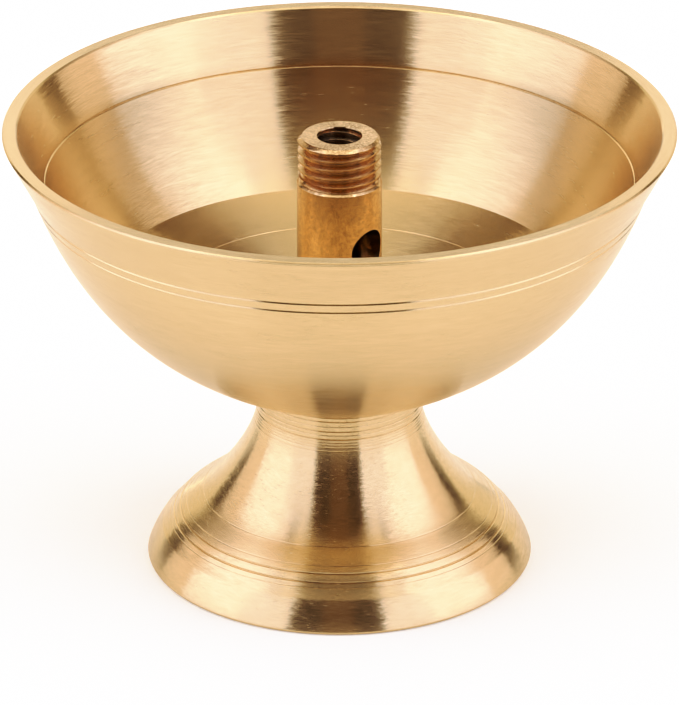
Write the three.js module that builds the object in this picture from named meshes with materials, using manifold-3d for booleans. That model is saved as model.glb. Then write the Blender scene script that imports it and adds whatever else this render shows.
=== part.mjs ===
// A brass oil lamp: a turned bowl on a hollow foot, with a threaded wick post at its centre.
// Millimetres, +Z up. The origin is where the lamp's axis meets the table.

import * as THREE from 'three';
import { mergeVertices } from 'three/addons/utils/BufferGeometryUtils.js';
import Module from 'manifold-3d';

const wasm = await Module();
wasm.setup();

// Foot
const FOOT_HEIGHT = 28.25;
const BASE_RADIUS = 29.2;
const BASE_EDGE = 0.5; // rounding of the base's outer edge
const SKIRT_HEIGHT = 4.7; // table to the corner between the skirt and the bell
const SKIRT_TOP_RADIUS = 27;
const SKIRT_LOWER_LEAN = 18.5; // degrees from upright, just above the base edge
const SKIRT_UPPER_LEAN = 35;
const BELL_HEIGHT = 10; // table to where the bell's shoulder turns into the neck
const BELL_TOP_RADIUS = 21.2;
const BELL_LOWER_LEAN = 43.5;
const BELL_UPPER_LEAN = 54.5; // the neck leaves the bell at the same slope
const BELL_LOWER_REACH = 4; // how far each end's slope carries into the curve
const BELL_UPPER_REACH = 5.3;
const NECK_RADIUS = 12.45;
const NECK_CURVE_HEIGHT = 15.2; // bell to where the neck turns upright
const NECK_LOWER_REACH = 4.25;
const NECK_UPPER_REACH = 4.65;
const FOOT_WALL = 2.6;
const NECK_WEB = 12.25; // solid metal under the bowl that the stud passes through
const FOOT_GROOVE_HEIGHTS = [6.75, 7.75];

// Bowl
const BOWL_HEIGHT = 41.55; // foot to rim
const BOWL_RADIUS = 50;
const BOWL_SEAT_RADIUS = 12.9;
const BELLY_LOWER_RISE = 22; // degrees above level, where the belly leaves the seat
const BELLY_UPPER_RISE = 70; // degrees above level, under the lip
const BELLY_LOWER_REACH = 18.6;
const BELLY_UPPER_REACH = 18.5;
const LIP_HEIGHT = 7.5;
const LIP_FLARE = 3.8; // how far the lip leans out over its height
const BOWL_WALL = 2;
const RIM_BEVEL = 0.25;
const FLOOR_RADIUS = 34.3; // where the wall meets the sloping floor
const FLOOR_THICKNESS = 7.25; // metal under the post's seat, from which the floor slopes up
const POST_SEAT_RADIUS = 8;
const LIP_GROOVE_DROPS = [8.3, 9.8]; // below the rim, outside
const INNER_GROOVE_DROP = 8.2; // below the rim, inside

// Turned decoration lines
const GROOVE_WIDTH = 0.36;
const GROOVE_DEPTH = 0.2;

// Wick post
const POST_RADIUS = 6.35;
const POST_LENGTH = 31.6; // above its seal
const POST_EDGE = 0.2;
const CAP_THREAD_RADIUS = 6.2;
const CAP_THREAD_PITCH = 1.4;
const CAP_THREAD_LENGTH = 6;
const CAP_THREAD_START = 0.9; // of the helix above the thread's lower end
const CAP_CHAMFER = 0.6;
const CAP_CHAMFER_HEIGHT = 0.5;
const CAP_RELIEF = 0.4;
const CAP_BEVEL_HEIGHT = 0.9;
const BORE_RADIUS = 3.22;
const BORE_DEPTH = 27.5;
const BORE_THREAD_PITCH = 1.25;
const BORE_THREAD_LENGTH = 5;
const BORE_CHAMFER = 0.05;
const INLET_RADIUS = 3.1; // oil hole in the side
const INLET_HEIGHT = 14.9; // above the seal
const INLET_BEARING = 47; // degrees from the front, towards +X
const SHANK_RADIUS = 3.9;
const SHANK_LENGTH = 10;
const SHANK_PITCH = 1.25;
const SHANK_CHAMFER = 0.7;

// Fastenings
const SEAL_RADIUS = 6.2;
const SEAL_THICKNESS = 1.2;
const STUD_RADIUS = 5.9; // on the bowl's underside
const STUD_CHAMFER = 0.8;
const STUD_END = 1.2; // stands out below the nut
const WASHER_RADIUS = 11.5;
const WASHER_THICKNESS = 1.6;
const SPRING_WIDTH = 3.6;
const SPRING_THICKNESS = 2.2;
const SPRING_SLIT = 1.2;
const NUT_ACROSS_FLATS = 18;
const NUT_HEIGHT = 6;
const NUT_CHAMFER = 1;
const FIT = 0.3; // radial clearance of every threaded or plain fit
const HOLE_END = 1.2; // tapped hole past the shank's end
const DRILL_TIP = 0.6; // depth of a drill's cone over its radius

// How finely round shapes are cut
const WIDE_FACETS = 64;
const POST_FACETS = 48;
const SMALL_FACETS = 32;
const CURVE_STEPS = 8;
const EDGE_STEPS = 3; // round the base's outer edge
const LEAST_STEP = 1; // between two points where outlines meet
const THREAD_STEPS = 24; // in each turn
const COLUMN_SHIFT = 0.25; // in steps, keeps a thread's edges off those of the shape that trims it

// Thread form, as shares of the pitch
const THREAD_DEPTH = 0.57;
const THREAD_ROOT = 0.17;
const THREAD_CREST = 0.17;
const CUT_OVERRUN = 0.3; // how far a cutting shape runs past the metal
const CORE_INSET = 0.1; // how far a bar's core lies inside its thread's roots
const SAME_POINT = 1e-5; // corners closer than this are one

const bowlTop = FOOT_HEIGHT + BOWL_HEIGHT;
const webUnderside = FOOT_HEIGHT - NECK_WEB;
const washerUnderside = webUnderside - WASHER_THICKNESS;
const springUnderside = washerUnderside - SPRING_THICKNESS;
const nutUnderside = springUnderside - NUT_HEIGHT;
const studBottom = nutUnderside - STUD_END;
const postSeat = FOOT_HEIGHT + FLOOR_THICKNESS;
const shoulder = postSeat + SEAL_THICKNESS;
const postTop = shoulder + POST_LENGTH;
const shankEnd = shoulder - SHANK_LENGTH;

const point = (x, y) => new THREE.Vector2(x, y);
const degrees = THREE.MathUtils.degToRad;

const brass = () => new THREE.MeshStandardMaterial({ color: 0xd9b277, roughness: 0.3, metalness: 1 });
const steel = () => new THREE.MeshStandardMaterial({ color: 0xb9bbbd, roughness: 0.35, metalness: 1 });
const rubber = () => new THREE.MeshStandardMaterial({ color: 0x181616, roughness: 0.8, metalness: 0 });

// Two end points joined by a smooth curve that leaves and arrives at the given slopes,
// in degrees above level.
function sweep(from, slopeFrom, reachFrom, to, slopeTo, reachTo) {
  const leave = point(Math.cos(degrees(slopeFrom)), Math.sin(degrees(slopeFrom)));
  const arrive = point(Math.cos(degrees(slopeTo)), Math.sin(degrees(slopeTo)));
  const first = from.clone().addScaledVector(leave, reachFrom);
  const second = to.clone().addScaledVector(arrive, -reachTo);
  return new THREE.CubicBezierCurve(from, first, second, to).getPoints(CURVE_STEPS);
}

// The line a wall's thickness to the left of an outline, as seen along it.
function offsetLeft(outline, distance) {
  return outline.map((here, i) => {
    const before = outline[Math.max(i - 1, 0)];
    const after = outline[Math.min(i + 1, outline.length - 1)];
    const along = after.clone().sub(before).normalize();
    return point(here.x - along.y * distance, here.y + along.x * distance);
  });
}

// The point where a rising outline reaches a height.
function atHeight(outline, height) {
  const i = outline.findIndex((p) => p.y >= height);
  const low = outline[i - 1];
  const high = outline[i];
  return low.clone().lerp(high, (height - low.y) / (high.y - low.y));
}

// A rising outline with a narrow V cut into it at a height. inward is 1 where the metal
// lies to the left of the outline and -1 where it lies to the right.
function grooved(outline, height, inward) {
  const centre = atHeight(outline, height);
  const next = outline.find((p) => p.y > height);
  const along = next.clone().sub(centre).normalize();
  const root = point(centre.x - along.y * GROOVE_DEPTH * inward, centre.y + along.x * GROOVE_DEPTH * inward);
  const lower = centre.clone().addScaledVector(along, -GROOVE_WIDTH / 2);
  const upper = centre.clone().addScaledVector(along, GROOVE_WIDTH / 2);
  const below = outline.filter((p) => p.y < lower.y - GROOVE_WIDTH / 2);
  const above = outline.filter((p) => p.y > upper.y + GROOVE_WIDTH / 2);
  return [...below, lower, root, upper, ...above];
}

// A closed outline in radius and height, turned about the lamp's axis.
function turned(outline, facets) {
  return new THREE.LatheGeometry(outline, facets).rotateX(Math.PI / 2);
}

// A geometry as a solid that can be cut and joined.
function solid(geometry) {
  const bare = geometry.clone();
  bare.deleteAttribute('normal');
  bare.deleteAttribute('uv');
  const merged = mergeVertices(bare, SAME_POINT);
  const corners = merged.index.array;
  const kept = [];
  for (let i = 0; i < corners.length; i += 3) {
    const [a, b, c] = corners.subarray(i, i + 3);
    if (a !== b && b !== c && c !== a) kept.push(a, b, c);
  }
  const make = (triVerts) => new wasm.Manifold(new wasm.Mesh({
    numProp: 3,
    vertProperties: new Float32Array(merged.attributes.position.array),
    triVerts: new Uint32Array(triVerts),
  }));
  const body = make(kept);
  return body.volume() > 0 ? body : make(kept.reverse());
}

function geometryOf(body) {
  const mesh = body.getMesh();
  const geometry = new THREE.BufferGeometry();
  geometry.setAttribute('position', new THREE.BufferAttribute(mesh.vertProperties, 3));
  geometry.setIndex(new THREE.BufferAttribute(mesh.triVerts, 1));
  geometry.computeVertexNormals();
  return geometry;
}

function piece(name, body, material) {
  const mesh = new THREE.Mesh(geometryOf(body), material);
  mesh.name = name;
  return mesh;
}

// A bar with a right-handed thread along it. Its points stand in columns round the bar and in
// rows that climb with the thread, so the last column meets the first one a turn higher.
function threadedBar(crestRadius, pitch, from, to) {
  const rootRadius = crestRadius - THREAD_DEPTH * pitch;
  const flank = (1 - THREAD_ROOT - THREAD_CREST) / 2;
  const form = [
    point(rootRadius, 0), point(rootRadius, THREAD_ROOT),
    point(crestRadius, THREAD_ROOT + flank), point(crestRadius, THREAD_ROOT + flank + THREAD_CREST),
  ];
  const last = form.length * (Math.ceil((to - from) / pitch) + 1);
  const places = [];
  for (let column = 0; column <= THREAD_STEPS; column += 1) {
    const share = column / THREAD_STEPS;
    for (let row = 0; row <= last; row += 1) {
      const corner = form[row % form.length];
      const turn = Math.floor(row / form.length) + corner.y + share - 1;
      const angle = 2 * Math.PI * (share + COLUMN_SHIFT / THREAD_STEPS);
      const around = new THREE.Vector3().setFromCylindricalCoords(corner.x, angle, 0);
      places.push(around.z, around.x, from + pitch * turn);
    }
  }
  const at = (column, row) => column * (last + 1) + row;
  const foot = places.length / 3;
  const head = foot + 1;
  places.push(0, 0, from - pitch, 0, 0, to + pitch);
  const faces = [];
  for (let column = 0; column < THREAD_STEPS; column += 1) {
    for (let row = 0; row < last; row += 1) {
      faces.push(at(column, row), at(column + 1, row), at(column + 1, row + 1));
      faces.push(at(column, row), at(column + 1, row + 1), at(column, row + 1));
    }
    faces.push(foot, at(column + 1, 0), at(column, 0));
    faces.push(head, at(column, last), at(column + 1, last));
  }
  for (let row = 0; row < form.length; row += 1) {
    faces.push(foot, at(0, row), at(0, row + 1));
    faces.push(head, at(THREAD_STEPS, last - row), at(THREAD_STEPS, last - row - 1));
  }
  const geometry = new THREE.BufferGeometry();
  geometry.setAttribute('position', new THREE.Float32BufferAttribute(places, 3));
  geometry.setIndex(faces);
  return solid(geometry);
}

function ring(inner, outer, bottom, top, facets) {
  const outline = [
    point(inner, bottom), point(outer, bottom), point(outer, top), point(inner, top), point(inner, bottom),
  ];
  return solid(turned(outline, facets));
}

// The foot's outside, from the rounded base edge up to the neck's top.
function footOutside() {
  const edge = point(BASE_RADIUS, BASE_EDGE);
  const corner = point(SKIRT_TOP_RADIUS, SKIRT_HEIGHT);
  const bellTop = point(BELL_TOP_RADIUS, BELL_HEIGHT);
  const upright = point(NECK_RADIUS, BELL_HEIGHT + NECK_CURVE_HEIGHT);
  const reach = edge.distanceTo(corner) / 3;
  const bellFoot = 90 + BELL_LOWER_LEAN;
  const bellHead = 90 + BELL_UPPER_LEAN;
  const skirt = sweep(edge, 90 + SKIRT_LOWER_LEAN, reach, corner, 90 + SKIRT_UPPER_LEAN, reach);
  const bell = sweep(corner, bellFoot, BELL_LOWER_REACH, bellTop, bellHead, BELL_UPPER_REACH);
  const neck = sweep(bellTop, bellHead, NECK_LOWER_REACH, upright, 90, NECK_UPPER_REACH);
  return [...skirt, ...bell.slice(1), ...neck.slice(1), point(NECK_RADIUS, FOOT_HEIGHT)];
}

function makeFoot() {
  const outside = footOutside();
  const inside = offsetLeft(outside, FOOT_WALL).filter((p) => p.y > 0 && p.y < webUnderside);
  const inner = inside.reverse();
  const rim = inner[inner.length - 1];
  const crown = point(inner[0].x, webUnderside);
  const grooves = FOOT_GROOVE_HEIGHTS.reduce((line, height) => grooved(line, height, 1), outside);
  const hole = STUD_RADIUS + FIT;
  const edge = new THREE.EllipseCurve(
    BASE_RADIUS - BASE_EDGE, BASE_EDGE, BASE_EDGE, BASE_EDGE, -Math.PI / 2, 0,
  ).getPoints(EDGE_STEPS);
  const outline = [
    point(hole, webUnderside), crown, ...inner, point(rim.x, 0),
    ...edge.slice(0, -1), ...grooves, point(hole, FOOT_HEIGHT), point(hole, webUnderside),
  ];
  return solid(turned(outline, WIDE_FACETS));
}

// The bowl's outside, from its seat on the foot up to the bevel at the rim.
function bowlOutside() {
  const seat = point(BOWL_SEAT_RADIUS, FOOT_HEIGHT);
  const lip = point(BOWL_RADIUS - LIP_FLARE, bowlTop - LIP_HEIGHT);
  const belly = sweep(seat, BELLY_LOWER_RISE, BELLY_LOWER_REACH, lip, BELLY_UPPER_RISE, BELLY_UPPER_REACH);
  return [...belly, point(BOWL_RADIUS, bowlTop - RIM_BEVEL)];
}

// The bowl's inside, from the edge of the post's seat up to the bevel at the rim.
function bowlInside() {
  const wall = offsetLeft(bowlOutside(), BOWL_WALL);
  const upper = wall.filter((p) => p.x > FLOOR_RADIUS);
  const last = wall[wall.length - 1];
  const lower = wall[wall.length - upper.length - 1];
  const share = (FLOOR_RADIUS - lower.x) / (upper[0].x - lower.x);
  const crease = lower.clone().lerp(upper[0], share);
  const mouthDrop = bowlTop - RIM_BEVEL - last.y;
  const mouth = point(last.x + mouthDrop * LIP_FLARE / (LIP_HEIGHT - RIM_BEVEL), bowlTop - RIM_BEVEL);
  const seat = point(POST_SEAT_RADIUS, postSeat);
  const kept = upper.filter((p) => p.x > FLOOR_RADIUS + LEAST_STEP && p.y < bowlTop - LEAST_STEP);
  return [seat, crease, ...kept, mouth];
}

function makeBowl() {
  const outside = LIP_GROOVE_DROPS.reduce((line, drop) => grooved(line, bowlTop - drop, 1), bowlOutside());
  const inside = grooved(bowlInside(), bowlTop - INNER_GROOVE_DROP, -1).reverse();
  const hole = SHANK_RADIUS + FIT;
  const holeEnd = shankEnd - HOLE_END;
  const outline = [
    point(0, studBottom), point(STUD_RADIUS - STUD_CHAMFER, studBottom),
    point(STUD_RADIUS, studBottom + STUD_CHAMFER), point(STUD_RADIUS, FOOT_HEIGHT),
    ...outside, point(BOWL_RADIUS - RIM_BEVEL, bowlTop),
    point(inside[0].x + RIM_BEVEL, bowlTop), ...inside,
    point(hole, postSeat), point(hole, holeEnd), point(0, holeEnd - hole * DRILL_TIP),
  ];
  return solid(turned(outline, WIDE_FACETS));
}

// A bar's core, as wide as its thread's roots allow.
const coreRadius = (crestRadius, pitch) => crestRadius - THREAD_DEPTH * pitch - CORE_INSET;

function postBlank() {
  const capCore = coreRadius(CAP_THREAD_RADIUS, CAP_THREAD_PITCH);
  const shankCore = coreRadius(SHANK_RADIUS, SHANK_PITCH);
  const relief = postTop - CAP_THREAD_LENGTH;
  const outline = [
    point(0, shankEnd), point(shankCore - CORE_INSET, shankEnd), point(shankCore, shankEnd + CORE_INSET),
    point(shankCore, shoulder), point(POST_RADIUS - POST_EDGE, shoulder),
    point(POST_RADIUS, shoulder + POST_EDGE), point(POST_RADIUS, relief - CAP_RELIEF - CAP_BEVEL_HEIGHT),
    point(capCore, relief - CAP_RELIEF), point(capCore, postTop - CORE_INSET),
    point(capCore - CORE_INSET, postTop), point(0, postTop),
  ];
  return solid(turned(outline, POST_FACETS));
}

// The thread on the post's top, its first turn cut away by the chamfer.
function capThread() {
  const wide = CAP_THREAD_RADIUS + CUT_OVERRUN;
  const slope = CAP_CHAMFER_HEIGHT / CAP_CHAMFER;
  const low = postTop - CAP_THREAD_LENGTH;
  const outline = [
    point(0, low), point(wide, low), point(wide, postTop - CAP_CHAMFER_HEIGHT - CUT_OVERRUN * slope),
    point(CAP_THREAD_RADIUS - CAP_CHAMFER, postTop), point(0, postTop),
  ];
  const bar = threadedBar(CAP_THREAD_RADIUS, CAP_THREAD_PITCH, low + CAP_THREAD_START, postTop);
  return bar.intersect(solid(turned(outline, THREAD_STEPS)));
}

// The thread under the post's shoulder, pointed at its end.
function shankThread() {
  const wide = SHANK_RADIUS + CUT_OVERRUN;
  const high = shoulder - SHANK_PITCH;
  const outline = [
    point(0, shankEnd), point(SHANK_RADIUS - SHANK_CHAMFER, shankEnd),
    point(wide, shankEnd + SHANK_CHAMFER + CUT_OVERRUN), point(wide, high), point(0, high),
  ];
  const bar = threadedBar(SHANK_RADIUS, SHANK_PITCH, shankEnd, high);
  return bar.intersect(solid(turned(outline, THREAD_STEPS)));
}

// The post's bore, threaded at its mouth.
function postBore() {
  const bottom = postTop - BORE_DEPTH;
  const past = postTop + CUT_OVERRUN;
  const minor = BORE_RADIUS + CORE_INSET;
  const chamfer = minor + BORE_CHAMFER;
  const outline = [
    point(0, bottom - BORE_RADIUS * DRILL_TIP), point(BORE_RADIUS, bottom),
    point(BORE_RADIUS, postTop - chamfer + BORE_RADIUS), point(chamfer + CUT_OVERRUN, past), point(0, past),
  ];
  const low = postTop - BORE_THREAD_LENGTH;
  const major = minor + THREAD_DEPTH * BORE_THREAD_PITCH;
  const wide = major + CUT_OVERRUN;
  const reach = ring(0, wide, low, past, THREAD_STEPS);
  const tap = threadedBar(major, BORE_THREAD_PITCH, low, past).intersect(reach);
  return solid(turned(outline, THREAD_STEPS)).add(tap);
}

function oilInlet() {
  const drill = new THREE.CylinderGeometry(INLET_RADIUS, INLET_RADIUS, POST_RADIUS * 2, SMALL_FACETS);
  drill.translate(0, -POST_RADIUS, 0);
  drill.rotateZ(degrees(INLET_BEARING));
  drill.translate(0, 0, shoulder + INLET_HEIGHT);
  return solid(drill);
}

function makePost() {
  return postBlank().add(capThread()).add(shankThread()).subtract(postBore()).subtract(oilInlet());
}

// A split ring, cut through on one side.
function makeSpringWasher() {
  const inner = STUD_RADIUS + FIT;
  const outer = inner + SPRING_WIDTH;
  const innerSlit = Math.asin(SPRING_SLIT / 2 / inner);
  const outerSlit = Math.asin(SPRING_SLIT / 2 / outer);
  const shape = new THREE.Shape();
  shape.absarc(0, 0, outer, outerSlit, 2 * Math.PI - outerSlit, false);
  shape.absarc(0, 0, inner, 2 * Math.PI - innerSlit, innerSlit, true);
  shape.closePath();
  const flat = new THREE.ExtrudeGeometry(shape, {
    depth: SPRING_THICKNESS, bevelEnabled: false, curveSegments: SMALL_FACETS,
  });
  return solid(flat.translate(0, 0, springUnderside));
}

// A hexagon with its corners turned off at both ends.
function makeNut() {
  const corner = NUT_ACROSS_FLATS / 2 / Math.cos(Math.PI / 6);
  const block = new THREE.CylinderGeometry(corner, corner, NUT_HEIGHT, 6).rotateX(Math.PI / 2);
  block.translate(0, 0, nutUnderside + NUT_HEIGHT / 2);
  const bore = STUD_RADIUS + FIT;
  const slope = NUT_CHAMFER * Math.tan(Math.PI / 6);
  const turnedOutline = [
    point(bore, nutUnderside), point(corner - NUT_CHAMFER, nutUnderside),
    point(corner + CUT_OVERRUN, nutUnderside + slope * (1 + CUT_OVERRUN / NUT_CHAMFER)),
    point(corner + CUT_OVERRUN, springUnderside - slope * (1 + CUT_OVERRUN / NUT_CHAMFER)),
    point(corner - NUT_CHAMFER, springUnderside), point(bore, springUnderside), point(bore, nutUnderside),
  ];
  return solid(block).intersect(solid(turned(turnedOutline, SMALL_FACETS)));
}

function makeLamp() {
  const lamp = new THREE.Group();
  lamp.add(piece('foot', makeFoot(), brass()));
  lamp.add(piece('bowl', makeBowl(), brass()));
  lamp.add(piece('wick_post', makePost(), brass()));
  const shankHole = SHANK_RADIUS + FIT;
  lamp.add(piece('seal_washer', ring(shankHole, SEAL_RADIUS, postSeat, shoulder, SMALL_FACETS), rubber()));
  const studHole = STUD_RADIUS + FIT;
  const washer = ring(studHole, WASHER_RADIUS, washerUnderside, webUnderside, SMALL_FACETS);
  lamp.add(piece('clamp_washer', washer, steel()));
  lamp.add(piece('spring_washer', makeSpringWasher(), steel()));
  lamp.add(piece('lock_nut', makeNut(), brass()));
  return lamp;
}

export default makeLamp();
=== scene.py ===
# The looks of a turned brass oil lamp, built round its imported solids.
# Meshes are in metres and outlines in millimetres, +Z up, with -Y towards the viewer.
import math

import bmesh
import bpy
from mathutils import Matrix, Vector


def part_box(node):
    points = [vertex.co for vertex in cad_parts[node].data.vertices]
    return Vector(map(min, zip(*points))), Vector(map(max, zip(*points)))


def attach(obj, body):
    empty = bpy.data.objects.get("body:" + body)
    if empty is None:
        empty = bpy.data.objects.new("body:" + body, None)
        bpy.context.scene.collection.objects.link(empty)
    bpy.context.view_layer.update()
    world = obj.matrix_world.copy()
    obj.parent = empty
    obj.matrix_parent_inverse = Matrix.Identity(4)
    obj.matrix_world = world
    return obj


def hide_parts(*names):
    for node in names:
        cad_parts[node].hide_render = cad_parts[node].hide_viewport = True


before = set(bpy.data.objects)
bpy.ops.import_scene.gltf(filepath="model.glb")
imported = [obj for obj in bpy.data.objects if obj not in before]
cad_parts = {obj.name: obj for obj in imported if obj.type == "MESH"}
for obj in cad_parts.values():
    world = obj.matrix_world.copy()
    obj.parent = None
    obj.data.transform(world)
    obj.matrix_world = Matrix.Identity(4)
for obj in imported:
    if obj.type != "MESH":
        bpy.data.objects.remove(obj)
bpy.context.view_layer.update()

MM = 0.001


def extent(node):
    """Lowest and highest corner of a solid, in millimetres."""
    low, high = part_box(node)
    return low / MM, high / MM


foot_low, foot_high = extent("foot")
bowl_low, bowl_high = extent("bowl")
post_low, post_high = extent("wick_post")
seal_low, seal_high = extent("seal_washer")
clamp_low, clamp_high = extent("clamp_washer")
spring_low, spring_high = extent("spring_washer")
nut_low, nut_high = extent("lock_nut")

# Photograph: the camera that took it, solved from the ellipses of rim, base and neck. Its place is in
# millimetres, its tilt in degrees and its clips in metres.
PHOTO_HEIGHT = 705
FOCAL_PIXELS = 6389.2
SENSOR = 36
CAMERA_BACK = 872.8
CAMERA_HEIGHT = 436.94
CAMERA_DOWN = 24.842
NEAR_CLIP = 0.05
FAR_CLIP = 50

# Foot: sizes in millimetres, slopes in degrees from upright, and heights of its turned lines
FOOT_TOP = foot_high.z
BASE_RADIUS = foot_high.x
BASE_EDGE = 0.5
SKIRT_HEIGHT = 4.7
SKIRT_TOP_RADIUS = 27
SKIRT_LOWER_LEAN = 18.5
SKIRT_UPPER_LEAN = 35
BELL_HEIGHT = 10
BELL_TOP_RADIUS = 21.2
BELL_LOWER_LEAN = 43.5
BELL_UPPER_LEAN = 54.5
BELL_LOWER_REACH = 4
BELL_UPPER_REACH = 5.3
NECK_RADIUS = 12.45
NECK_CURVE_HEIGHT = 15.2
NECK_LOWER_REACH = 4.25
NECK_UPPER_REACH = 4.65
FOOT_WALL = 2.6
FOOT_GROOVES = (6.75, 7.75)
FOOT_MARKS = (6.1, 8.5, 10.4, 22.5, 23.0, 23.4, 23.8, 24.9, 26.3)
NECK_LINES = (24.25, 25.5, 27.1, 27.75)

# Bowl: slopes in degrees above level, and the depths of its turned lines below the rim
RIM = bowl_high.z
BOWL_RADIUS = bowl_high.x
BOWL_SEAT_RADIUS = 12.9
BELLY_LOWER_RISE = 22
BELLY_UPPER_RISE = 70
BELLY_LOWER_REACH = 18.6
BELLY_UPPER_REACH = 18.5
LIP_HEIGHT = 7.5
LIP_FLARE = 3.8
BOWL_WALL = 2
RIM_BEVEL = 0.25
FLOOR_RADIUS = 34.3
FLOOR_RING_RADIUS = 26.15
POST_SEAT_RADIUS = 8
LIP_GROOVE_DROPS = (8.3, 9.8)
INNER_GROOVE_DROP = 8.2
RIM_LINE_DROP = 0.45

# Turned lines: the width and depth of a groove, a fine line and a tool mark
GROOVE = (0.36, 0.2)
LINE = (0.2, 0.08)
MARK = (0.16, 0.03)

# Wick post
POST_TOP = post_high.z
POST_RADIUS = post_high.x
SHOULDER = seal_high.z
SHANK_END = post_low.z
POST_EDGE = 0.2
CAP_THREAD_RADIUS = 6.2
CAP_THREAD_PITCH = 1.4
CAP_THREAD_LENGTH = 6
CAP_THREAD_START = 0.9
CAP_CHAMFER = 0.6
CAP_CHAMFER_HEIGHT = 0.5
CAP_RELIEF = 0.4
CAP_BEVEL_HEIGHT = 0.9
CAP_BEVEL_LINE = (0.2, 0.09)
CAP_BEVEL_LINE_SHARE = 0.4
BORE_RADIUS = 3.22
BORE_MOUTH = 3.37
BORE_DEPTH = 27.5
BORE_THREAD_PITCH = 1.25
BORE_THREAD_LENGTH = 5
INLET_RADIUS = 3.1
INLET_HEIGHT = 14.9
INLET_BEARING = 47
INLET_TIP = 2.4
INLET_OVERRUN = 1
SHANK_RADIUS = 3.9
SHANK_PITCH = 1.25
SHANK_CHAMFER = 0.7
SHANK_RUNOUT = 1.25

# Broken edge of the oil hole: its size, and in shares of that how far out and how deep each ring lies
INLET_EDGE = 0.14
INLET_EDGE_RINGS = ((0, 1.6), (0.3, 0.7), (1, 0.2), (4, -1))

# Ragged edge of the first thread: bits of metal in front, and a spur at the left
BURR_HEIGHT = 0.1
BURR_REACH = 0.3
BURR_SPREAD = 17
BURR_WAVES = (1.1, 0.47)
SPUR_HEIGHT = 0.32
SPUR_BEARING = -88
SPUR_SPREAD = 9

# Thread form, as shares of the pitch
THREAD_DEPTH = 0.57
THREAD_FLAT = 0.17

# How far a bar's core lies inside its thread's roots
CORE_INSET = 0.1

# Fastenings: the nut's edge is the least height of its chamfers
STUD_RADIUS = 5.9
STUD_CHAMFER = 0.8
FIT = 0.3
HOLE_END = 1.2
DRILL_TIP = 0.6
SPRING_SLIT = 1.2
NUT_FLATS = nut_high.x
NUT_CHAMFER = 1
NUT_LEAD = 0.5
NUT_EDGE = 0.02
SEAL_ROUNDING = 0.35
CLAMP_ROUNDING = 0.3
SPRING_ROUNDING = 0.25

# Floor, in millimetres, with its paint
FLOOR_REACH = 1250
FLOOR_DROP = 0.02
FLOOR_PAINT = (0.95, 0.935, 0.86, 1)
FLOOR_GLOW = (1, 0.99, 0.97, 1)
FLOOR_GLOW_STRENGTH = 0.2
FLOOR_ROUGHNESS = 0.6
FLOOR_GLOSS = 0.1

# Colours of the lights and of the dark room behind them
COOL = (0.94, 1.02, 1.36)
NEUTRAL = (1, 0.93, 0.98)
WARM = (1, 0.94, 0.82)
WHITE = (1, 1, 1)
EMBER = (1, 0.68, 0.4)
ROOM = (0.085, 0.052, 0.025, 1)

# Softboxes that stand in a ring, whose radius and lift are in metres. Each has a bearing, a span and a top
# in degrees, then its brightness and colour. A lead is how much further round its side's softboxes stand.
TENT_RADIUS = 1.3
TENT_LIFT = 0.01
LEFT_LEAD = 2
RIGHT_LEAD = -1
SIDE_SOFTBOXES = {
    "_front_softbox": (43, 31, 50, 1.36, COOL),
    "_softbox": (79, 41, 66, 1.6, COOL),
    "_side_softbox": (111, 23, 58, 1.13, NEUTRAL),
    "_rear_softbox": (147, 24, 42, 0.94, WARM),
}
BACK_SOFTBOX = (180, 42, 40, 1.15, WHITE)
FRONT_SOFTBOX = (0, 20, 50, 0.1, EMBER)

# Softbox overhead, in metres
TOP_PLACE = Vector((0, -0.085, 1.5))
TOP_WIDTH = 1.6
TOP_DEPTH = 1.49
TOP_BRIGHTNESS = 1.62

# Film: for each brightness in the scene, how brightly it is shown
FILM_WHITE = 2
FILM_CURVE = (
    (0.1, 0.045), (0.2, 0.13), (0.35, 0.29), (0.7, 0.685),
    (0.88, 0.905), (0.98, 0.967), (1.08, 0.99), (1.3, 0.998),
)

# Brushed brass: how much wider than its finest lines the others are, and how much less often they change
COARSE_WIDTH = 3
COARSE_CHANGES = 2
BROAD_WIDTH = 14
BROAD_CHANGES = 5
PATCHES = 42
LINES_SHARE = 0.6
WORN_RANGE = (0.38, 0.62)

# Rubber and plated steel: colours, least and most roughness, and how fine and deep their grain is
RUBBER_COLOURS = ((0.012, 0.011, 0.011, 1), (0.035, 0.032, 0.03, 1))
RUBBER_ROUGHNESS = (0.6, 0.85)
RUBBER_GRAIN = 2600
RUBBER_RELIEF = 0.00003
RUBBER_RELIEF_SHARE = 0.3
STEEL_COLOURS = ((0.42, 0.42, 0.4, 1), (0.66, 0.66, 0.65, 1))
STEEL_ROUGHNESS = (0.42, 0.26)
STEEL_CLOUDS = 350
STEEL_LINES = 0.00018
STEEL_LINE_CHANGES = 3
STEEL_RELIEF = 0.00002
STEEL_RELIEF_SHARE = 0.25

# How finely round shapes are drawn, and in millimetres which points are one and how edges are broken
WIDE_SEGMENTS = 256
POST_SEGMENTS = 160
SMALL_SEGMENTS = 96
CURVE_STEPS = 48
CORNER_STEPS = 4
EDGE_STEPS = 8
CAP_ROWS = 24
BORE_ROWS = 12
SHANK_ROWS = 10
SHARP_CORNER = math.radians(12)
SHARP_EDGE = math.radians(40)
SAME_POINT = 0.0005
EDGE_BREAK = 0.06
LEAST_STEP = 1


def heading(degrees):
    return Vector((math.cos(math.radians(degrees)), math.sin(math.radians(degrees))))


def bezier(start, first, second, end, steps):
    points = []
    for i in range(steps + 1):
        t = i / steps
        s = 1 - t
        points.append(s ** 3 * start + 3 * s * s * t * first + 3 * s * t * t * second + t ** 3 * end)
    return points


def sweep(start, start_slope, start_reach, end, end_slope, end_reach):
    """A smooth curve that leaves and arrives at the given slopes, in degrees above level."""
    first = start + start_reach * heading(start_slope)
    second = end - end_reach * heading(end_slope)
    return bezier(start, first, second, end, CURVE_STEPS)


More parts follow.
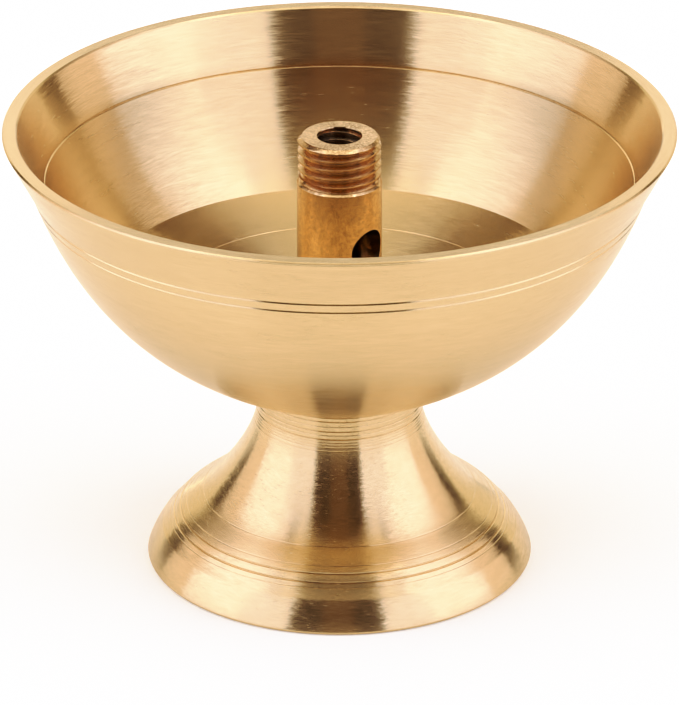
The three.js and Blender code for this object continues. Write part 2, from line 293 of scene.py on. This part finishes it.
def offset_left(outline, distance):
    """The line a wall's thickness to the left of an outline."""
    moved = []
    for i, here in enumerate(outline):
        before = outline[max(i - 1, 0)]
        after = outline[min(i + 1, len(outline) - 1)]
        along = (after - before).normalized()
        moved.append(here + distance * Vector((-along.y, along.x)))
    return moved


def at_height(outline, height):
    """The point where an outline first crosses a height."""
    for low, high in zip(outline, outline[1:]):
        if min(low.y, high.y) <= height <= max(low.y, high.y) and low.y != high.y:
            return low.lerp(high, (height - low.y) / (high.y - low.y))
    raise ValueError(f"the outline never reaches {height}")


def cut_ring(outline, centre, size, inward):
    """The outline with a V cut into it. inward is 1 where the metal lies to its left, else -1."""
    width, depth = size
    reach = width / 2

    def detour(i):
        low, high = outline[i - 1], outline[i]
        return (centre - low).length + (high - centre).length - (high - low).length

    here = min(range(1, len(outline)), key=detour)
    along = (outline[here] - outline[here - 1]).normalized()
    root = centre + depth * inward * Vector((-along.y, along.x))
    before, after = outline[:here], outline[here:]
    while (before[-1] - centre).length < reach:
        before.pop()
    while (after[0] - centre).length < reach:
        after.pop(0)
    return before + [centre - reach * along, root, centre + reach * along] + after


def softened(outline, radius):
    """The outline with each sharp corner rounded."""
    soft = []
    for i, here in enumerate(outline):
        before = outline[i - 1]
        after = outline[(i + 1) % len(outline)]
        arriving = here - before
        leaving = after - here
        inside = 0 < i < len(outline) - 1
        if not inside or arriving.length == 0 or leaving.length == 0:
            soft.append(here)
            continue
        if arriving.angle(leaving) < SHARP_CORNER:
            soft.append(here)
            continue
        cut = min(radius * math.tan(arriving.angle(leaving) / 2), arriving.length / 3, leaving.length / 3)
        start = here - cut * arriving.normalized()
        end = here + cut * leaving.normalized()
        soft += bezier(start, start.lerp(here, 2 / 3), end.lerp(here, 2 / 3), end, CORNER_STEPS)
    return soft


def placed(bm, radius, height, share):
    angle = 2 * math.pi * share
    return bm.verts.new((radius * math.cos(angle) * MM, radius * math.sin(angle) * MM, height * MM))


def skin(bm, columns, closed=True):
    """Faces between neighbouring columns of vertices, from the first round to the last."""
    for left, right in zip(columns, columns[1:]):
        for i in range(len(left) if closed else len(left) - 1):
            j = (i + 1) % len(left)
            bm.faces.new((left[i], right[i], right[j], left[j]))


def piece(name, bm):
    """An object from a closed bmesh whose seams are still open."""
    bmesh.ops.remove_doubles(bm, verts=bm.verts, dist=SAME_POINT * MM)
    bmesh.ops.dissolve_degenerate(bm, edges=bm.edges, dist=SAME_POINT * MM / 10)
    bmesh.ops.recalc_face_normals(bm, faces=bm.faces)
    mesh = bpy.data.meshes.new(name)
    bm.to_mesh(mesh)
    bm.free()
    made = bpy.data.objects.new(name, mesh)
    bpy.context.scene.collection.objects.link(made)
    return made


def shade(made):
    """Smooth shading that keeps flat faces flat and sharp edges sharp."""
    mesh = made.data
    mesh.polygons.foreach_set("use_smooth", [True] * len(mesh.polygons))
    mesh.set_sharp_from_angle(angle=SHARP_EDGE)
    weighted = made.modifiers.new("even_normals", "WEIGHTED_NORMAL")
    weighted.keep_sharp = True


def wound(name, column, segments):
    """A piece whose outline may change round the axis. column(share) gives it at a share of a turn."""
    bm = bmesh.new()
    columns = []
    for i in range(segments + 1):
        share = i / segments
        columns.append([placed(bm, p.x, p.y, share) for p in column(share)])
    skin(bm, columns)
    return piece(name, bm)


def turned(name, outline, segments):
    return wound(name, lambda share: outline, segments)


def corner(x, y):
    return Vector((x, y))


def base_edge():
    """The quarter round from the table up to the foot's outside."""
    centre = corner(BASE_RADIUS - BASE_EDGE, BASE_EDGE)
    return [centre + BASE_EDGE * heading(-90 + 90 * i / EDGE_STEPS) for i in range(EDGE_STEPS)]


def foot_outside():
    """From the rounded base edge up to the neck's top."""
    edge = corner(BASE_RADIUS, BASE_EDGE)
    crease = corner(SKIRT_TOP_RADIUS, SKIRT_HEIGHT)
    bell_top = corner(BELL_TOP_RADIUS, BELL_HEIGHT)
    upright = corner(NECK_RADIUS, BELL_HEIGHT + NECK_CURVE_HEIGHT)
    reach = (crease - edge).length / 3
    bell_foot = 90 + BELL_LOWER_LEAN
    bell_head = 90 + BELL_UPPER_LEAN
    skirt = sweep(edge, 90 + SKIRT_LOWER_LEAN, reach, crease, 90 + SKIRT_UPPER_LEAN, reach)
    bell = sweep(crease, bell_foot, BELL_LOWER_REACH, bell_top, bell_head, BELL_UPPER_REACH)
    neck = sweep(bell_top, bell_head, NECK_LOWER_REACH, upright, 90, NECK_UPPER_REACH)
    return skirt + bell[1:] + neck[1:] + [corner(NECK_RADIUS, FOOT_TOP)]


def make_foot():
    outside = foot_outside()
    web = clamp_high.z
    inside = [p for p in offset_left(outside, FOOT_WALL) if 0 < p.y < web]
    for heights, size in ((FOOT_GROOVES, GROOVE), (NECK_LINES, LINE), (FOOT_MARKS, MARK)):
        for height in heights:
            outside = cut_ring(outside, at_height(outside, height), size, 1)
    hole = STUD_RADIUS + FIT
    inner = inside[::-1]
    outline = [corner(hole, web), corner(inner[0].x, web), *inner, corner(inner[-1].x, 0)]
    outline += base_edge() + outside + [corner(hole, FOOT_TOP)]
    return turned("foot_skin", softened(outline, EDGE_BREAK), WIDE_SEGMENTS)


def bowl_outside():
    seat = corner(BOWL_SEAT_RADIUS, FOOT_TOP)
    lip = corner(BOWL_RADIUS - LIP_FLARE, RIM - LIP_HEIGHT)
    belly = sweep(seat, BELLY_LOWER_RISE, BELLY_LOWER_REACH, lip, BELLY_UPPER_RISE, BELLY_UPPER_REACH)
    return belly + [corner(BOWL_RADIUS, RIM - RIM_BEVEL)]


def bowl_inside():
    """From the edge of the post's seat up to the bevel at the rim."""
    wall = offset_left(bowl_outside(), BOWL_WALL)
    upper = [p for p in wall if p.x > FLOOR_RADIUS and p.y < RIM - LEAST_STEP]
    lower = wall[wall.index(upper[0]) - 1]
    crease = lower.lerp(upper[0], (FLOOR_RADIUS - lower.x) / (upper[0].x - lower.x))
    last = wall[-1]
    drop = RIM - RIM_BEVEL - last.y
    mouth = corner(last.x + drop * LIP_FLARE / (LIP_HEIGHT - RIM_BEVEL), RIM - RIM_BEVEL)
    return [corner(POST_SEAT_RADIUS, seal_low.z), crease] + upper[1:] + [mouth]


def make_bowl():
    outside = bowl_outside()
    for drop in LIP_GROOVE_DROPS:
        outside = cut_ring(outside, at_height(outside, RIM - drop), GROOVE, 1)
    outside = cut_ring(outside, at_height(outside, RIM - RIM_LINE_DROP), LINE, 1)
    inside = bowl_inside()
    seat, crease = inside[:2]
    ring = seat.lerp(crease, (FLOOR_RING_RADIUS - seat.x) / (crease.x - seat.x))
    inside = [seat, ring.lerp(seat, 0.5), ring, ring.lerp(crease, 0.5)] + inside[1:]
    inside = cut_ring(inside, ring, MARK, -1)
    inside = cut_ring(inside, at_height(inside, RIM - INNER_GROOVE_DROP), GROOVE, -1)
    hole = SHANK_RADIUS + FIT
    hole_end = SHANK_END - HOLE_END
    stud_end = bowl_low.z
    outline = [
        corner(0, stud_end), corner(STUD_RADIUS - STUD_CHAMFER, stud_end),
        corner(STUD_RADIUS, stud_end + STUD_CHAMFER), corner(STUD_RADIUS, FOOT_TOP),
        *outside, corner(BOWL_RADIUS - RIM_BEVEL, RIM),
        corner(inside[-1].x + RIM_BEVEL, RIM), *inside[::-1],
        corner(hole, seal_low.z), corner(hole, hole_end), corner(0, hole_end - hole * DRILL_TIP),
    ]
    return turned("bowl_skin", softened(outline, EDGE_BREAK), WIDE_SEGMENTS)


def thread_height(place):
    """How far a thread stands out at a share of its pitch, from 0 at the root to 1 at the crest."""
    from_crest = abs(2 * (place % 1) - 1)
    rise = (1 - from_crest - THREAD_FLAT) / (1 - 2 * THREAD_FLAT)
    return min(max(rise, 0), 1)


def thread(crest, pitch, start, low, high, share, rows):
    """Points up one side of a right-handed thread that is cut off level at both ends. It starts and ends a
    little past them, so that every share of a turn has as many points."""
    depth = THREAD_DEPTH * pitch
    first = math.floor((low - start) / pitch) - 2
    last = math.ceil((high - start) / pitch) + 1
    points = []
    for row in range(first * rows, last * rows):
        height = start + pitch * (row / rows + share)
        reach = crest - depth * (1 - thread_height(row / rows))
        points.append(corner(reach, min(max(height, low), high)))
    return points


def cap_limit(height):
    """The radius that the chamfer leaves at a height."""
    return CAP_THREAD_RADIUS - CAP_CHAMFER + (POST_TOP - height) * CAP_CHAMFER / CAP_CHAMFER_HEIGHT


def burr(share):
    """How far the first thread's ragged edge stands out at a share of a turn."""
    bearing = (share * 360 + 90) % 360
    bearing = bearing - 360 if bearing > 180 else bearing
    quick, slow = BURR_WAVES
    ragged = max(0, math.sin(bearing * quick) * math.sin(bearing * slow + 1))
    bits = BURR_HEIGHT * ragged * math.exp(-(bearing / BURR_SPREAD) ** 4)
    spur = SPUR_HEIGHT * max(0, 1 - abs(bearing - SPUR_BEARING) / SPUR_SPREAD)
    return bits + spur


def cap_points(share):
    low = POST_TOP - CAP_THREAD_LENGTH
    start = low + CAP_THREAD_START
    turn = share + THREAD_FLAT / 2
    points = thread(CAP_THREAD_RADIUS, CAP_THREAD_PITCH, start, low, POST_TOP, turn, CAP_ROWS)
    trimmed = [corner(min(p.x, cap_limit(p.y)), p.y) for p in points]
    edge = POST_TOP - CAP_CHAMFER_HEIGHT
    extra = burr(share)
    for p in trimmed:
        p.x += extra * max(0, 1 - abs(p.y - edge) / BURR_REACH)
    return trimmed


def bore_points(share):
    """Down the bore's thread, from its mouth."""
    low = POST_TOP - BORE_THREAD_LENGTH
    high = POST_TOP - (BORE_MOUTH - BORE_RADIUS)
    depth = THREAD_DEPTH * BORE_THREAD_PITCH
    minor = BORE_RADIUS + CORE_INSET
    up = thread(minor + depth, BORE_THREAD_PITCH, low, low, high, share, BORE_ROWS)
    return up[::-1]


def shank_points(share):
    high = SHOULDER - SHANK_RUNOUT
    points = thread(SHANK_RADIUS, SHANK_PITCH, SHANK_END, SHANK_END, high, share, SHANK_ROWS)
    limit = SHANK_RADIUS - SHANK_CHAMFER
    return [corner(min(p.x, limit + p.y - SHANK_END), p.y) for p in points]


def post_column(share):
    core = SHANK_RADIUS - THREAD_DEPTH * SHANK_PITCH
    thread_end = POST_TOP - CAP_THREAD_LENGTH
    relief_radius = CAP_THREAD_RADIUS - THREAD_DEPTH * CAP_THREAD_PITCH - CORE_INSET
    bevel_low = corner(POST_RADIUS, thread_end - CAP_RELIEF - CAP_BEVEL_HEIGHT)
    bevel_high = corner(relief_radius, thread_end - CAP_RELIEF)
    line = bevel_low.lerp(bevel_high, CAP_BEVEL_LINE_SHARE)
    bevel = cut_ring([bevel_low, line, bevel_high], line, CAP_BEVEL_LINE, 1)
    body = [
        corner(core, SHOULDER), corner(POST_RADIUS - POST_EDGE, SHOULDER),
        corner(POST_RADIUS, SHOULDER + POST_EDGE), *bevel, corner(relief_radius, thread_end),
    ]
    bore_bottom = POST_TOP - BORE_DEPTH
    bore_end = [
        corner(BORE_RADIUS, POST_TOP - BORE_THREAD_LENGTH), corner(BORE_RADIUS, bore_bottom),
        corner(0, bore_bottom - BORE_RADIUS * DRILL_TIP),
    ]
    mouth = [corner(BORE_MOUTH, POST_TOP)]
    below = softened([corner(0, SHANK_END)] + body, EDGE_BREAK)[1:]
    return [
        corner(0, SHANK_END), *shank_points(share), *below, *cap_points(share), *mouth,
        *bore_points(share), *bore_end,
    ]


def inlet_drill():
    """What the oil hole's drill takes away, with the broken edge that follows the post's side."""
    bm = bmesh.new()
    turn = math.radians(INLET_BEARING)
    outward = Vector((math.sin(turn), -math.cos(turn), 0))
    across = Vector((-outward.y, outward.x, 0))
    centre = Vector((0, 0, SHOULDER + INLET_HEIGHT))

    def ring(radius, below):
        points = []
        for i in range(SMALL_SEGMENTS):
            angle = 2 * math.pi * i / SMALL_SEGMENTS
            side = radius * math.cos(angle)
            depth = 0 if below is None else math.sqrt(POST_RADIUS ** 2 - side ** 2) - below
            rise = Vector((0, 0, radius * math.sin(angle)))
            points.append(centre + side * across + depth * outward + rise)
        return [bm.verts.new(p * MM) for p in points]

    tip = bm.verts.new((centre - INLET_TIP * outward) * MM)
    rings = [ring(INLET_RADIUS, None)]
    for out, below in INLET_EDGE_RINGS:
        rings.append(ring(INLET_RADIUS + out * INLET_EDGE, below * INLET_EDGE))
    end = bm.verts.new((centre + (POST_RADIUS + INLET_OVERRUN) * outward) * MM)
    for i in range(SMALL_SEGMENTS):
        j = (i + 1) % SMALL_SEGMENTS
        bm.faces.new((tip, rings[0][j], rings[0][i]))
        bm.faces.new((end, rings[-1][i], rings[-1][j]))
        for near, far in zip(rings, rings[1:]):
            bm.faces.new((near[i], near[j], far[j], far[i]))
    return piece("inlet_drill", bm)


def cut(body, tool):
    """The body with the tool's space taken out of it."""
    boolean = body.modifiers.new("cut", "BOOLEAN")
    boolean.operation = "DIFFERENCE"
    boolean.solver = "EXACT"
    boolean.object = tool
    bpy.context.view_layer.update()
    depsgraph = bpy.context.evaluated_depsgraph_get()
    result = bpy.data.meshes.new_from_object(body.evaluated_get(depsgraph))
    result.name = body.name
    body.modifiers.clear()
    body.data = result
    bpy.data.objects.remove(tool)
    return body


def make_post():
    return cut(wound("post_skin", post_column, POST_SEGMENTS), inlet_drill())


def rounded_section(inner, outer, low, high, radius):
    corners = [corner(inner, low), corner(outer, low), corner(outer, high), corner(inner, high)]
    middle = (corners[0] + corners[3]) / 2
    return softened([middle] + corners + [middle], radius)[:-1]


def make_seal():
    section = rounded_section(SHANK_RADIUS + FIT, seal_high.x, seal_low.z, seal_high.z, SEAL_ROUNDING)
    return turned("seal_skin", section, SMALL_SEGMENTS)


def make_clamp():
    section = rounded_section(STUD_RADIUS + FIT, clamp_high.x, clamp_low.z, clamp_high.z, CLAMP_ROUNDING)
    return turned("clamp_skin", section, SMALL_SEGMENTS)


def make_spring():
    """A split ring: a rounded section carried round the axis from one end of its slit to the other."""
    inner = STUD_RADIUS + FIT
    outer = -spring_low.x
    section = rounded_section(inner, outer, spring_low.z, spring_high.z, SPRING_ROUNDING)
    bm = bmesh.new()
    columns = []
    for i in range(SMALL_SEGMENTS + 1):
        column = []
        for p in section:
            half_slit = math.asin(SPRING_SLIT / 2 / p.x) / (2 * math.pi)
            column.append(placed(bm, p.x, p.y, half_slit + (1 - 2 * half_slit) * i / SMALL_SEGMENTS))
        columns.append(column)
    skin(bm, columns)
    bm.faces.new(columns[0])
    bm.faces.new(columns[-1][::-1])
    return piece("spring_skin", bm)


def nut_column(share):
    """A hexagon whose corners are turned off at both ends."""
    corner_radius = NUT_FLATS / math.cos(math.pi / 6)
    sixth = (share * 6) % 1 - 0.5
    reach = NUT_FLATS / math.cos(sixth * math.pi / 3)
    limit = corner_radius - NUT_CHAMFER
    drop = max(0, reach - limit) * math.tan(math.pi / 6)
    face = min(reach, limit)
    bore = STUD_RADIUS + FIT
    lower = [
        corner(bore, nut_low.z + NUT_LEAD), corner(bore + NUT_LEAD, nut_low.z),
        corner(face - NUT_EDGE, nut_low.z), corner(face, nut_low.z + NUT_EDGE / 2),
        corner(reach, nut_low.z + drop + NUT_EDGE),
    ]
    upper = [corner(p.x, nut_low.z + nut_high.z - p.y) for p in reversed(lower)]
    return lower + upper


def make_nut():
    half_side = 1 / 12
    return wound("nut_skin", lambda share: nut_column(share + half_side), SMALL_SEGMENTS * 2)


# Materials

UPWARD = (0.0, 0.0, 1.0)


def add(tree, kind, inputs=None, **settings):
    """A shader node with its settings, and with values or links on its inputs."""
    made = tree.nodes.new("ShaderNode" + kind)
    for name, value in settings.items():
        setattr(made, name, value)
    for name, value in (inputs or {}).items():
        if isinstance(value, bpy.types.NodeSocket):
            tree.links.new(value, made.inputs[name])
        else:
            made.inputs[name].default_value = value
    return made


def maths(tree, operation, a, b=0.0, c=0.0):
    return add(tree, "Math", {0: a, 1: b, 2: c}, operation=operation).outputs[0]


def vectors(tree, operation, a, b=(0, 0, 0)):
    return add(tree, "VectorMath", {0: a, 1: b}, operation=operation).outputs["Vector"]


def blend(tree, a, b, share):
    """A share of one value and the rest of another."""
    return maths(tree, "MULTIPLY_ADD", a, share, maths(tree, "MULTIPLY", b, 1 - share))


def remap(tree, value, low, high):
    """Takes a value from 0 to 1 to the range from low to high."""
    settings = {"Value": value, "To Min": low, "To Max": high}
    return add(tree, "MapRange", settings).outputs["Result"]


def mixed(tree, share, low, high):
    """The colour a share of the way from one to another."""
    inputs = {"Factor": share, "A": low, "B": high}
    return add(tree, "Mix", inputs, data_type="RGBA").outputs["Result"]


def clouds(tree, scale, detail):
    """Noise that has no direction, so many times a metre."""
    place = add(tree, "TexCoord").outputs["Object"]
    return add(tree, "TexNoise", {"Vector": place, "Scale": scale, "Detail": detail}).outputs["Fac"]


def relief(tree, height, depth, share=1.0, **inputs):
    """A surface that rises and falls with a value, by so many metres."""
    settings = {"Height": height, "Strength": share, "Distance": depth, **inputs}
    return add(tree, "Bump", settings).outputs["Normal"]


class Rings:
    """Where a point lies round the lathe's axis, for patterns that run in rings."""

    def __init__(self, tree):
        self.tree = tree
        split = add(tree, "SeparateXYZ", {0: add(tree, "TexCoord").outputs["Object"]})
        flat = add(tree, "CombineXYZ", {"X": split.outputs["X"], "Y": split.outputs["Y"]}).outputs[0]
        self.height = split.outputs["Z"]
        self.radius = add(tree, "VectorMath", {0: flat}, operation="LENGTH").outputs["Value"]
        around = add(tree, "SeparateXYZ", {0: vectors(tree, "NORMALIZE", flat)})
        self.across, self.along = around.outputs["X"], around.outputs["Y"]

    def noise(self, spacing, changes, detail=1.0):
        """Noise drawn out into rings, spacing metres apart, that changes so often round a turn."""
        tree = self.tree
        vector = add(tree, "CombineXYZ", {
            "X": maths(tree, "MULTIPLY", self.radius, 1 / spacing),
            "Y": maths(tree, "MULTIPLY", self.height, 1 / spacing),
            "Z": maths(tree, "MULTIPLY", self.across, changes),
        }).outputs[0]
        turn = maths(tree, "MULTIPLY", self.along, changes)
        inputs = {"Vector": vector, "W": turn, "Scale": 1.0, "Detail": detail}
        return add(tree, "TexNoise", inputs, noise_dimensions="4D").outputs["Fac"]


def new_material(name):
    material = bpy.data.materials.new(name)
    material.use_nodes = True
    material.node_tree.nodes.clear()
    return material, material.node_tree


def finished(tree, **inputs):
    names = {key.replace("_", " "): value for key, value in inputs.items()}
    shader = add(tree, "BsdfPrincipled", names)
    add(tree, "OutputMaterial", {"Surface": shader.outputs[0]})
    return shader


def brass(name, light, dark, rough, grain, streak, lean, bump):
    """Brass brushed in rings. light and dark are its colours and rough its least and most roughness. grain
    is the spacing of its lines in metres, streak how often a line changes in a turn, lean how far it tips
    along its ring, and bump how deep it is, in metres. Its gloss is drawn out across the rings."""
    material, tree = new_material(name)
    rings = Rings(tree)
    fine = rings.noise(grain, streak)
    coarse = rings.noise(grain * COARSE_WIDTH, streak / COARSE_CHANGES, 2)
    broad = rings.noise(grain * BROAD_WIDTH, streak / BROAD_CHANGES, 2)
    lines = blend(tree, fine, coarse, 0.5)
    worn = blend(tree, lines, blend(tree, broad, clouds(tree, PATCHES, 3), 0.5), LINES_SHARE)
    window = {"Value": worn, "From Min": WORN_RANGE[0], "From Max": WORN_RANGE[1]}
    spread = add(tree, "MapRange", window).outputs["Result"]
    colour = mixed(tree, spread, dark, light)
    roughness = remap(tree, spread, rough[1], rough[0])

    geometry = add(tree, "NewGeometry")
    ring = vectors(tree, "CROSS_PRODUCT", UPWARD, geometry.outputs["Position"])
    tangent = vectors(tree, "NORMALIZE", ring)
    tip = maths(tree, "MULTIPLY", maths(tree, "SUBTRACT", lines, 0.5), lean)
    leaning = add(tree, "VectorMath", {0: tangent, "Scale": tip}, operation="SCALE").outputs["Vector"]
    normal = vectors(tree, "NORMALIZE", vectors(tree, "ADD", geometry.outputs["Normal"], leaning))
    raised = relief(tree, lines, bump, Normal=normal)
    finished(
        tree, Base_Color=colour, Metallic=1, Roughness=roughness, Normal=raised,
        Tangent=tangent, Anisotropic=1, Anisotropic_Rotation=0.25,
    )
    return material


def rubber(name):
    material, tree = new_material(name)
    speckle = clouds(tree, RUBBER_GRAIN, 4)
    colour = mixed(tree, speckle, *RUBBER_COLOURS)
    roughness = remap(tree, speckle, *RUBBER_ROUGHNESS)
    raised = relief(tree, speckle, RUBBER_RELIEF, RUBBER_RELIEF_SHARE)
    finished(tree, Base_Color=colour, Roughness=roughness, Normal=raised)
    return material


def plated_steel(name):
    material, tree = new_material(name)
    cloudy = clouds(tree, STEEL_CLOUDS, 5)
    turned_lines = Rings(tree).noise(STEEL_LINES, STEEL_LINE_CHANGES)
    colour = mixed(tree, cloudy, *STEEL_COLOURS)
    roughness = remap(tree, cloudy, *STEEL_ROUGHNESS)
    raised = relief(tree, turned_lines, STEEL_RELIEF, STEEL_RELIEF_SHARE)
    finished(tree, Base_Color=colour, Metallic=1, Roughness=roughness, Normal=raised)
    return material


def dress(made, material, node, body):
    """Gives a piece its finish and puts it in the place of its solid."""
    made.data.materials.clear()
    made.data.materials.append(material)
    shade(made)
    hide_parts(node)
    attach(made, body)


def make_camera():
    data = bpy.data.cameras.new("camera")
    data.sensor_width = SENSOR
    data.lens = FOCAL_PIXELS * SENSOR / PHOTO_HEIGHT
    data.clip_start = NEAR_CLIP
    data.clip_end = FAR_CLIP
    camera = bpy.data.objects.new("camera", data)
    camera.location = (0, -CAMERA_BACK * MM, CAMERA_HEIGHT * MM)
    camera.rotation_euler = (math.radians(90 - CAMERA_DOWN), 0, 0)
    bpy.context.scene.collection.objects.link(camera)
    bpy.context.scene.camera = camera


def make_floor():
    bm = bmesh.new()
    bmesh.ops.create_circle(bm, cap_ends=True, segments=SMALL_SEGMENTS, radius=FLOOR_REACH * MM)
    mesh = bpy.data.meshes.new("floor")
    bm.to_mesh(mesh)
    bm.free()
    floor = bpy.data.objects.new("floor", mesh)
    floor.location.z = -FLOOR_DROP * MM
    bpy.context.scene.collection.objects.link(floor)
    material, tree = new_material("floor_paint")
    finished(
        tree, Base_Color=FLOOR_PAINT, Roughness=FLOOR_ROUGHNESS, Specular_IOR_Level=FLOOR_GLOSS,
        Emission_Color=FLOOR_GLOW, Emission_Strength=FLOOR_GLOW_STRENGTH,
    )
    mesh.materials.append(material)


def softbox(name, place, direction, width, height, brightness, colour):
    """A rectangular soft light. brightness is what a mirror would show of it."""
    data = bpy.data.lights.new(name, "AREA")
    data.shape = "RECTANGLE"
    data.size = width
    data.size_y = height
    data.energy = brightness * math.pi * width * height
    data.color = colour
    light = bpy.data.objects.new(name, data)
    light.location = place
    light.rotation_euler = direction.to_track_quat("Z", "Y").to_euler()
    bpy.context.scene.collection.objects.link(light)


def standing_softbox(name, bearing, span, top, brightness, colour):
    """A softbox that stands round the lamp. bearing, span and top are in degrees as seen from the lamp, and
    bearing is from the viewer towards +X."""
    turn = math.radians(bearing)
    towards = Vector((math.sin(turn), -math.cos(turn), 0))
    width = 2 * TENT_RADIUS * math.tan(math.radians(span / 2))
    height = TENT_RADIUS * math.tan(math.radians(top))
    place = TENT_RADIUS * towards + Vector((0, 0, height / 2 + TENT_LIFT))
    softbox(name, place, towards, width, height, brightness, colour)


def make_light():
    for side, name, lead in ((-1, "left", LEFT_LEAD), (1, "right", RIGHT_LEAD)):
        for kind, (bearing, *rest) in SIDE_SOFTBOXES.items():
            standing_softbox(name + kind, side * (bearing + lead), *rest)
    standing_softbox("back_softbox", *BACK_SOFTBOX)
    standing_softbox("front_softbox", *FRONT_SOFTBOX)
    softbox("top_softbox", TOP_PLACE, Vector(UPWARD), TOP_WIDTH, TOP_DEPTH, TOP_BRIGHTNESS, WHITE)
    world = bpy.data.worlds.new("studio")
    world.use_nodes = True
    world.node_tree.nodes["Background"].inputs["Color"].default_value = ROOM
    bpy.context.scene.world = world


def make_film():
    """A camera's response: a toe that deepens dark tones and a shoulder that bends highlights to white."""
    view = bpy.context.scene.view_settings
    view.view_transform = "Standard"
    view.use_curve_mapping = True
    mapping = view.curve_mapping
    mapping.white_level = (FILM_WHITE, FILM_WHITE, FILM_WHITE)
    curve = mapping.curves[3]
    for brightness, shown in FILM_CURVE:
        curve.points.new(brightness / FILM_WHITE, shown)
    mapping.update()


make_camera()
make_floor()
make_light()
make_film()

bowl_brass = brass(
    "bowl_brass", light=(0.735, 0.555, 0.312, 1), dark=(0.71, 0.528, 0.287, 1), rough=(0.2, 0.275),
    grain=0.00008, streak=26, lean=0.09, bump=0.000003,
)
foot_brass = brass(
    "foot_brass", light=(0.735, 0.555, 0.315, 1), dark=(0.7, 0.52, 0.282, 1), rough=(0.18, 0.28),
    grain=0.00008, streak=34, lean=0.13, bump=0.000004,
)
bar_brass = brass(
    "bar_brass", light=(0.71, 0.505, 0.28, 1), dark=(0.46, 0.3, 0.14, 1), rough=(0.13, 0.26),
    grain=0.00015, streak=26, lean=0.3, bump=0.00002,
)
seal = rubber("seal_rubber")
steel = plated_steel("plated_steel")

dress(make_foot(), foot_brass, "foot", "lamp")
dress(make_bowl(), bowl_brass, "bowl", "lamp")
dress(make_post(), bar_brass, "wick_post", "post")
dress(make_seal(), seal, "seal_washer", "seal")
dress(make_clamp(), steel, "clamp_washer", "lamp")
dress(make_spring(), steel, "spring_washer", "lamp")
dress(make_nut(), bar_brass, "lock_nut", "lamp")
